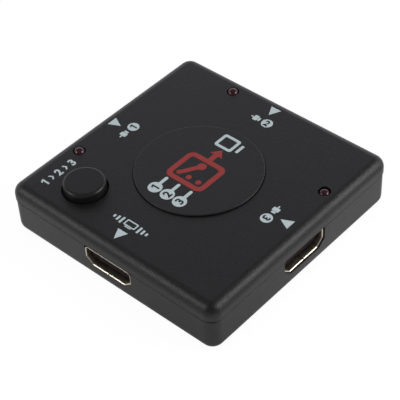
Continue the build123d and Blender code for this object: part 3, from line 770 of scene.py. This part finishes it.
class SWITCHBOX_OT_sockets(Operator):
    """Finish the four sockets: sheet shells, insulators and contacts"""

    bl_idname = "switch_box.finish_sockets"
    bl_label = "Sockets"

    def execute(self, context):
        look = context.scene.switch_box_socket
        # Painted shade deep in the sockets: the sheet falls to under half its colour between these two
        # depths.
        depth_shade = (0.9 * MM, 2.2 * MM, 0.45)
        sheet = sheet_material("socket_sheet_look", look.sheet, look.roughness, depth_shade=depth_shade)
        grain = {"grain_size": 0.15 * MM, "grain_depth": 0.006 * MM, "sheen": 0.06}
        moulding = plastic_material("socket_moulding_look", look.moulding, roughness=0.6, **grain)
        # The contacts get painted shade too, falling to a fifth of their colour deep inside.
        lines = {"line_size": 0.03 * MM, "depth": 0.0005 * MM, "depth_shade": (1.5 * MM, 3 * MM, 0.2)}
        gold = sheet_material("contact_gold_look", (0.83, 0.6, 0.27), roughness=0.24, **lines)
        for name in PORT_TURNS:
            smooth_piece(name + "_shell", sheet)
            smooth_piece(name + "_insulator", moulding)
            paint(name + "_contacts", gold)
        return {"FINISHED"}


class SWITCHBOX_OT_lamps(Operator):
    """Finish the three indicator lamps"""

    bl_idname = "switch_box.finish_lamps"
    bl_label = "Lamps"

    def execute(self, context):
        resin = resin_material("lamp_resin_look", context.scene.switch_box_lamp.resin)
        lines = {"line_size": 0.05 * MM, "depth": 0.001 * MM}
        leads = sheet_material("lead_look", (0.72, 0.72, 0.72), roughness=0.3, **lines)
        for name in INPUTS:
            number = name[-1]
            smooth_piece("lamp_lens_" + number, resin)
            paint("lamp_leads_" + number, leads)
        return {"FINISHED"}


class SWITCHBOX_OT_fasteners(Operator):
    """Finish the case screws"""

    bl_idname = "switch_box.finish_fasteners"
    bl_label = "Case Screws"

    def execute(self, context):
        lines = {"line_size": 0.1 * MM, "depth": 0.002 * MM}
        steel = sheet_material("screw_steel_look", (0.14, 0.14, 0.15), roughness=0.38, **lines)
        smooth_piece("case_screws", steel)
        return {"FINISHED"}


# The board's plastics: colour, roughness, and the size and depth of the grain, and the share of painted
# light and shade on it.
BOARD_PLASTICS = {
    "chip_resin": ((0.028, 0.028, 0.03), 0.55, 0.08 * MM, 0.008 * MM, 0.22),
    "black_moulding": ((0.02, 0.02, 0.021), 0.42, 0.15 * MM, 0.006 * MM, 0.22),
    "ceramic": ((0.42, 0.29, 0.17), 0.5, 0.12 * MM, 0.004 * MM, 0.08),
}
# The board's metals: colour, roughness, and the size and depth of a rolling line.
BOARD_METALS = {
    "tinned": ((0.72, 0.72, 0.72), 0.34, 0.06 * MM, 0.001 * MM),
    "can": ((0.78, 0.78, 0.79), 0.3, 0.05 * MM, 0.001 * MM),
}
# The finish of each piece on the board; legs and caps are tinned too.
BOARD_FINISHES = {
    "circuit_board": "board",
    "switch_cover": "tinned",
    "switch_terminals": "tinned",
    "switch_housing": "black_moulding",
    "switch_plunger": "black_moulding",
    "can_capacitor_bases": "black_moulding",
    "can_capacitors": "can",
    "resistors": "chip_resin",
    "regulator": "chip_resin",
    "main_chip": "chip_resin",
    "memory_chips": "chip_resin",
    "controller_chip": "chip_resin",
    "ceramic_capacitors": "ceramic",
}


class SWITCHBOX_OT_board(Operator):
    """Finish the board and everything on it"""

    bl_idname = "switch_box.finish_board"
    bl_label = "Board"

    def execute(self, context):
        looks = {"board": board_material("board_laminate_look")}
        for name, values in BOARD_PLASTICS.items():
            looks[name] = plastic_material(name + "_look", *values)
        for name, values in BOARD_METALS.items():
            looks[name] = sheet_material(name + "_look", *values)
        for node, finish in BOARD_FINISHES.items():
            paint(node, looks[finish])
        for node in frame["nodes"]:
            if node.endswith("_legs") or node.endswith("_caps"):
                paint(node, looks["tinned"])
        return {"FINISHED"}


class SWITCHBOX_OT_marks(Operator):
    """Print the arrow heads and the discs behind the numbers"""

    bl_idname = "switch_box.print_marks"
    bl_label = "Arrows and Discs"

    def execute(self, context):
        look = context.scene.switch_box_mark
        points = []
        turns = []
        discs = []
        third = look.arrow_length / 3
        for name, turn in PORT_TURNS.items():
            # A head's own point is a third of its length from its base, and each gap is to its outer end.
            outward = name == "output"
            gap = OUTPUT_ARROW_EDGE_GAP + 2 * third if outward else ARROW_EDGE_GAP + third
            points.append((*mark_point(name, 0, gap), LID_TOP))
            turns.append(math.radians(turn - 90 if outward else turn + 90))
            discs.append(False)
        for name in INPUTS:
            points.append((*mark_point(name, NUMBER_SIDE, NUMBER_EDGE_GAP), LID_TOP))
            turns.append(0.0)
            discs.append(True)
        mesh = bpy.data.meshes.new("printed_marks")
        mesh.from_pydata(points, [], [])
        mesh.attributes.new("turn", "FLOAT", "POINT").data.foreach_set("value", turns)
        mesh.attributes.new("is_disc", "BOOLEAN", "POINT").data.foreach_set("value", discs)
        piece = link_object("printed_marks", mesh)
        modifier = piece.modifiers.new("marks", "NODES")
        modifier.node_group = mark_tree()
        values = {
            "Arrow Length": look.arrow_length,
            "Arrow Width": look.arrow_width,
            "Disc Radius": look.number_radius,
            "Ink Height": 2 * look.ink_height,
            "Ink": ink_material("pale_ink_look", look.pale),
        }
        set_modifier_inputs(modifier, values)
        flatten_modifiers(piece)
        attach(piece, "casing")
        return {"FINISHED"}


# The numbers in the lid's discs.
PORT_NUMBER_HEIGHT = 2.1 * MM
# A rounded rectangle is its middle, width, height and corner radius; a stroke is its two ends and width.
PLUG_BODY = mm(-0.1, 0, 1.3, 1.9, 0.3)
PLUG_COLLAR = mm(0.95, 0, 0.6, 1.2, 0.1)
PLUG_LEAD = (mm(-1.35, 0), mm(-0.85, 0), 0.36 * MM)
# The display over the output, with bars that get shorter to each side.
OUTPUT_PICTOGRAM_SPOT = mm(0, -23.9)
SCREEN_OUTER = mm(0, 0.2, 3.5, 1.95, 0.3)
SCREEN_INNER = mm(0, 0.2, 2.8, 1.25, 0.12)
SCREEN_FOOT = mm(0, -1.05, 1.9, 0.3, 0.1)
FIRST_BAR = 2.75 * MM
BAR_PITCH = 1.15 * MM
BAR_WIDTH = 0.6 * MM
BAR_HEIGHTS = mm(2.1, 1.5, 0.9)
BAR_CORNER = 0.15 * MM
# The three numbers by the button, with a chevron between each two.
STEPS_SPOT = mm(-26.1, -21.75)
STEP_PITCH = 4.5 * MM
STEP_HEIGHT = 2.4 * MM
CHEVRON_HEIGHT = 1.7 * MM
CHEVRON_WIDTH = 0.5 * MM


def draw_plug(ink):
    """A small plug seen from the side, as a mesh: a body, a collar and a lead."""
    work = bmesh.new()
    add_slab(work, rounded_outline(*PLUG_BODY), ink)
    add_slab(work, rounded_outline(*PLUG_COLLAR), ink)
    add_slab(work, stroke_outline(*PLUG_LEAD), ink)
    return mesh_of("plug", work)


def draw_screen(work, ink):
    """A display on its foot, with three short bars to each side."""
    add_band(work, rounded_outline(*SCREEN_OUTER), rounded_outline(*SCREEN_INNER), ink)
    add_slab(work, rounded_outline(*SCREEN_FOOT), ink)
    for side in (-1, 1):
        for i, height in enumerate(BAR_HEIGHTS):
            x = side * (FIRST_BAR + i * BAR_PITCH)
            add_slab(work, rounded_outline(x, 0, BAR_WIDTH, height, BAR_CORNER), ink)


def draw_steps(work, ink):
    """The numbers 1, 2 and 3 in a row, with chevrons between them."""
    for i, text in enumerate("123"):
        add_numeral(work, text, STEP_HEIGHT, ink, Matrix.Translation(((i - 1) * STEP_PITCH, 0, 0)))
    for side in (-1, 1):
        add_slab(work, chevron_outline(side * STEP_PITCH / 2, 0, CHEVRON_HEIGHT, CHEVRON_WIDTH), ink)


class SWITCHBOX_OT_legends(Operator):
    """Print the numbers and the small pictograms on the lid"""

    bl_idname = "switch_box.print_legends"
    bl_label = "Numbers and Pictograms"

    def execute(self, context):
        look = context.scene.switch_box_mark
        pale = ink_material("legend_ink_look", look.pale)
        ink = look.ink_height
        dark = bmesh.new()
        plugs = bmesh.new()
        for name in INPUTS:
            turn = math.radians(PORT_TURNS[name] + 180)
            spot = mark_point(name, NUMBER_SIDE, NUMBER_EDGE_GAP)
            add_numeral(dark, name[-1], PORT_NUMBER_HEIGHT, ink / 2, place_on(spot, turn, LID_TOP + ink))
            spot = mark_point(name, PLUG_SIDE, NUMBER_EDGE_GAP)
            join_mesh(plugs, draw_plug(ink), place_on(spot, turn, LID_TOP))
        case = context.scene.switch_box_casing
        finish_print("dark_numbers", dark, ink_material("dark_ink_look", case.plastic))
        finish_print("input_pictograms", plugs, pale)
        screen = bmesh.new()
        draw_screen(screen, ink)
        finish_print("output_pictogram", screen, pale, place_on(OUTPUT_PICTOGRAM_SPOT, 0, LID_TOP))
        steps = bmesh.new()
        draw_steps(steps, ink)
        finish_print("select_legend", steps, pale, place_on(STEPS_SPOT, math.pi / 2, LID_TOP))
        return {"FINISHED"}


# The disc's diagram, drawn along X: three inputs with their leads, and numbers lifted onto their discs.
INPUT_X = -11.3 * MM
INPUT_ROWS = mm(3.9, 0, -3.9)
INPUT_RADIUS = 1.8 * MM
INPUT_NUMBER_HEIGHT = 2.3 * MM
INPUT_NUMBER_LIFT_SHARE = 1.2
INPUT_LEAD_ENDS = mm(-10.5, -7.3)
INPUT_LEAD_WIDTH = 0.9 * MM
# Then the switch in its frame: three contacts, and an arm from its pivot to the first of them.
SWITCH_OUTER = mm(-1.2, 0, 10.4, 11.6, 1.9)
SWITCH_INNER = mm(-1.2, 0, 7.6, 8.8, 0.8)
CONTACT_X = -3.7 * MM
CONTACT_ROWS = mm(3.0, 0, -3.0)
CONTACT_RADIUS = 0.75 * MM
PIVOT = mm(1.0, 0)
PIVOT_RADIUS = 1.2 * MM
ARM = (PIVOT, mm(-3.0, 2.5), 1.35 * MM)
# Then the arrow out of the frame, and the display that it leads to.
ARROW_SHAFT = mm(5.0, 0, 3.4, 1.5, 0.1)
ARROW_HEAD = (mm(6.2, -1.9), mm(8.5, 0), mm(6.2, 1.9))
DISPLAY_OUTER = mm(11.4, 0.7, 4.8, 5.2, 0.7)
DISPLAY_INNER = mm(11.4, 0.7, 3.2, 3.6, 0.3)
DISPLAY_FOOT = mm(11.4, -3.1, 3.0, 0.8, 0.2)


class SWITCHBOX_OT_diagram(Operator):
    """Print the switching diagram on the raised disc"""

    bl_idname = "switch_box.print_diagram"
    bl_label = "Disc Diagram"

    def execute(self, context):
        look = context.scene.switch_box_mark
        ink = look.ink_height
        pale = bmesh.new()
        red = bmesh.new()
        dark = bmesh.new()
        place = place_on((0, 0), math.pi / 2, DISC_TOP)
        for i, y in enumerate(INPUT_ROWS):
            start, end = [(x, y) for x in INPUT_LEAD_ENDS]
            add_slab(pale, circle_outline(INPUT_X, y, INPUT_RADIUS), ink)
            add_slab(pale, stroke_outline(start, end, INPUT_LEAD_WIDTH), ink, 1)
            lifted = place @ Matrix.Translation((INPUT_X, y, INPUT_NUMBER_LIFT_SHARE * ink))
            add_numeral(dark, str(i + 1), INPUT_NUMBER_HEIGHT, ink / 2, lifted)
        add_band(red, rounded_outline(*SWITCH_OUTER), rounded_outline(*SWITCH_INNER), ink)
        for y in CONTACT_ROWS:
            add_slab(red, circle_outline(CONTACT_X, y, CONTACT_RADIUS), ink)
        add_slab(red, stroke_outline(*ARM), ink, 1)
        add_slab(red, circle_outline(*PIVOT, PIVOT_RADIUS), ink, 2)
        add_slab(red, rounded_outline(*ARROW_SHAFT), ink, 1)
        add_slab(red, ARROW_HEAD, ink, 2)
        add_band(pale, rounded_outline(*DISPLAY_OUTER), rounded_outline(*DISPLAY_INNER), ink)
        add_slab(pale, rounded_outline(*DISPLAY_FOOT), ink)
        finish_print("diagram_pale", pale, ink_material("diagram_pale_look", look.pale), place)
        finish_print("diagram_red", red, ink_material("diagram_red_look", look.red), place)
        disc = context.scene.switch_box_casing.disc
        finish_print("diagram_numbers", dark, ink_material("diagram_dark_look", disc))
        return {"FINISHED"}


WHITE = (1, 1, 1, 1)
# The floor: its paper, its glow, and how much of the glow the camera sees.
FLOOR_RADIUS = 0.32
FLOOR_SIDES = 96
PAPER = (0.85, 0.85, 0.85, 1)
FLOOR_GLOW = 1.05
FLOOR_SEEN_SHARE = 0.9
# In gloss the floor brightens along a way, from nought to a level between two places.
FLOOR_WAY = (-0.45, 0.893, 0.0)
FLOOR_GLOSS_PLACES = mm(-51, -9)
FLOOR_GLOSS_LEVEL = 0.53
# The backdrop in gloss: the way to it, its levels low down and high up, and between which heights.
BACKDROP_WAY = (-0.694, 0.72, 0.0)
BACKDROP_LEVELS = (0.97, 0.22)
BACKDROP_HEIGHTS = (0.35, 0.78)
# How squarely it is faced where it begins and where it is whole, and the level of the room elsewhere.
BACKDROP_FACING = (0.05, 0.6)
ROOM_LEVEL = 0.2
GLOSS_TINT = (0.95, 0.95, 1.01, 1)
# Each lamp: the way to it from the box, its distance, its width and its height.
LEFT_LAMP = ((-0.496, -0.698, 0.515), 0.6, 0.3, 0.21)
RIGHT_LAMP = ((0.698, 0.496, 0.515), 0.6, 0.39, 0.28)
TOP_LAMP = ((0.1, -0.15, 1.0), 0.8, 0.5, 0.5)
# The point that the camera aims at.
CAMERA_AIM = (1.773 * MM, -2.182 * MM, 7.15 * MM)


def light_paths(tree):
    """Whether the camera sees a point straight, and whether it is seen in gloss or through glass."""
    path = tree.nodes.new("ShaderNodeLightPath")
    straight = path.outputs["Is Camera Ray"]
    mirrored = calculate(tree, "MAXIMUM", path.outputs["Is Glossy Ray"], path.outputs["Is Transmission Ray"])
    return straight, mirrored


def reach_along(tree, place, way):
    """How far a place or a direction reaches along a way."""
    sockets = {0: place, 1: way}
    return add_node(tree, "ShaderNodeVectorMath", sockets, operation="DOT_PRODUCT").outputs["Value"]


def floor_material():
    """A pale floor that reads as white, keeps a faint shadow and shows in metal and gloss."""
    material = bpy.data.materials.new("floor_look")
    tree = empty_tree(material)
    paper = add_node(tree, "ShaderNodeBsdfDiffuse", {"Color": PAPER})
    glow = add_node(tree, "ShaderNodeEmission", {"Color": WHITE, "Strength": FLOOR_GLOW})
    straight, mirrored = light_paths(tree)
    along = reach_along(tree, object_place(tree), FLOOR_WAY)
    level = blend_values(tree, along, 0.0, FLOOR_GLOSS_LEVEL, *FLOOR_GLOSS_PLACES)
    straight = calculate(tree, "MULTIPLY", straight, FLOOR_SEEN_SHARE)
    seen = calculate(tree, "MAXIMUM", straight, calculate(tree, "MULTIPLY", mirrored, level))
    sockets = {0: seen, 1: paper.outputs[0], 2: glow.outputs[0]}
    both = add_node(tree, "ShaderNodeMixShader", sockets)
    add_node(tree, "ShaderNodeOutputMaterial", {"Surface": both.outputs[0]})
    return material


def make_world(ambient):
    """Even pale light; gloss sees a white backdrop behind the box and a dimmer room about it."""
    world = bpy.data.worlds.new("studio")
    tree = empty_tree(world)
    way = add_node(tree, "ShaderNodeTexCoord").outputs["Generated"]
    height = add_node(tree, "ShaderNodeSeparateXYZ", {0: way}).outputs["Z"]
    fade = blend_values(tree, height, *BACKDROP_LEVELS, *BACKDROP_HEIGHTS)
    facing = reach_along(tree, way, BACKDROP_WAY)
    behind = blend_values(tree, facing, ROOM_LEVEL, fade, *BACKDROP_FACING)
    straight, mirrored = light_paths(tree)
    white = calculate(tree, "MAXIMUM", behind, straight)
    seen = calculate(tree, "MAXIMUM", straight, mirrored)
    even = add_node(tree, "ShaderNodeBackground", {"Color": WHITE, "Strength": ambient})
    cool = blend_colours(tree, straight, GLOSS_TINT, WHITE)
    back = add_node(tree, "ShaderNodeBackground", {"Color": cool, "Strength": white})
    both = add_node(tree, "ShaderNodeMixShader", {0: seen, 1: even.outputs[0], 2: back.outputs[0]})
    add_node(tree, "ShaderNodeOutputWorld", {"Surface": both.outputs[0]})
    return world


def make_lamp(name, power, direction, distance, width, height):
    """A soft rectangular lamp that faces the box from a direction."""
    data = bpy.data.lights.new(name, "AREA")
    data.shape = "RECTANGLE"
    data.size = width
    data.size_y = height
    data.energy = power
    lamp = link_object(name, data)
    away = Vector(direction).normalized()
    lamp.location = away * distance
    lamp.rotation_mode = "QUATERNION"
    lamp.rotation_quaternion = (-away).to_track_quat("-Z", "Y")
    return lamp


def make_camera(context, studio):
    """The camera at the photograph's viewing angle."""
    level = math.cos(studio.elevation)
    back = (math.sin(studio.azimuth) * level, -math.cos(studio.azimuth) * level, math.sin(studio.elevation))
    back = Vector(back)
    data = bpy.data.cameras.new("camera")
    data.lens = studio.lens
    data.sensor_width = 36
    camera = link_object("camera", data)
    camera.location = Vector(CAMERA_AIM) + back * studio.distance
    camera.rotation_mode = "QUATERNION"
    level_view = (-back).to_track_quat("-Z", "Y")
    camera.rotation_quaternion = level_view @ Quaternion((0, 0, 1), studio.roll)
    context.scene.camera = camera


class SWITCHBOX_OT_stage(Operator):
    """Set up the floor, the lamps, the world and the camera"""

    bl_idname = "switch_box.build_stage"
    bl_label = "Stage"

    def execute(self, context):
        studio = context.scene.switch_box_studio
        mesh = bpy.data.meshes.new("floor")
        rim = [(x, y, 0) for x, y in circle_outline(0, 0, FLOOR_RADIUS, FLOOR_SIDES)]
        mesh.from_pydata(rim, [], [tuple(range(len(rim)))])
        mesh.materials.append(floor_material())
        link_object("floor", mesh)
        context.scene.world = make_world(studio.ambient)
        make_lamp("left_lamp", studio.left_power, *LEFT_LAMP)
        make_lamp("right_lamp", studio.right_power, *RIGHT_LAMP)
        overhead = make_lamp("top_lamp", studio.top_power, *TOP_LAMP)
        overhead.visible_glossy = False
        make_camera(context, studio)
        context.scene.view_settings.view_transform = "Standard"
        return {"FINISHED"}


OPERATORS = [
    SWITCHBOX_OT_casing,
    SWITCHBOX_OT_button,
    SWITCHBOX_OT_dome,
    SWITCHBOX_OT_sockets,
    SWITCHBOX_OT_lamps,
    SWITCHBOX_OT_fasteners,
    SWITCHBOX_OT_board,
    SWITCHBOX_OT_marks,
    SWITCHBOX_OT_legends,
    SWITCHBOX_OT_diagram,
    SWITCHBOX_OT_stage,
]

SETTINGS = {
    "switch_box_casing": CasingSettings,
    "switch_box_button": ButtonSettings,
    "switch_box_socket": SocketSettings,
    "switch_box_lamp": LampSettings,
    "switch_box_mark": MarkSettings,
    "switch_box_studio": StudioSettings,
}


class SWITCHBOX_PT_sidebar(Panel):
    """The switch box's settings and steps"""

    bl_idname = "SWITCHBOX_PT_sidebar"
    bl_label = "Switch Box"
    bl_space_type = "VIEW_3D"
    bl_region_type = "UI"
    bl_category = "Switch Box"

    def draw(self, context):
        for name, kind in SETTINGS.items():
            group = getattr(context.scene, name)
            box = self.layout.box()
            for key in kind.__annotations__:
                box.prop(group, key)
        for operator in OPERATORS:
            self.layout.operator(operator.bl_idname)


def register():
    """Register the settings, the operators and the panel."""
    for name, kind in SETTINGS.items():
        bpy.utils.register_class(kind)
        setattr(bpy.types.Scene, name, PointerProperty(type=kind))
    for kind in [*OPERATORS, SWITCHBOX_PT_sidebar]:
        bpy.utils.register_class(kind)


def unregister():
    """Take the panel, the operators and the settings away again."""
    for kind in [SWITCHBOX_PT_sidebar, *reversed(OPERATORS)]:
        bpy.utils.unregister_class(kind)
    for name, kind in SETTINGS.items():
        delattr(bpy.types.Scene, name)
        bpy.utils.unregister_class(kind)


def main():
    """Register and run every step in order."""
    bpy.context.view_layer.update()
    register()
    bpy.ops.switch_box.finish_casing()
    bpy.ops.switch_box.finish_button()
    bpy.ops.switch_box.finish_dome()
    bpy.ops.switch_box.finish_sockets()
    bpy.ops.switch_box.finish_lamps()
    bpy.ops.switch_box.finish_fasteners()
    bpy.ops.switch_box.finish_board()
    bpy.ops.switch_box.print_marks()
    bpy.ops.switch_box.print_legends()
    bpy.ops.switch_box.print_diagram()
    bpy.ops.switch_box.build_stage()


if __name__ == "__main__":
    main()
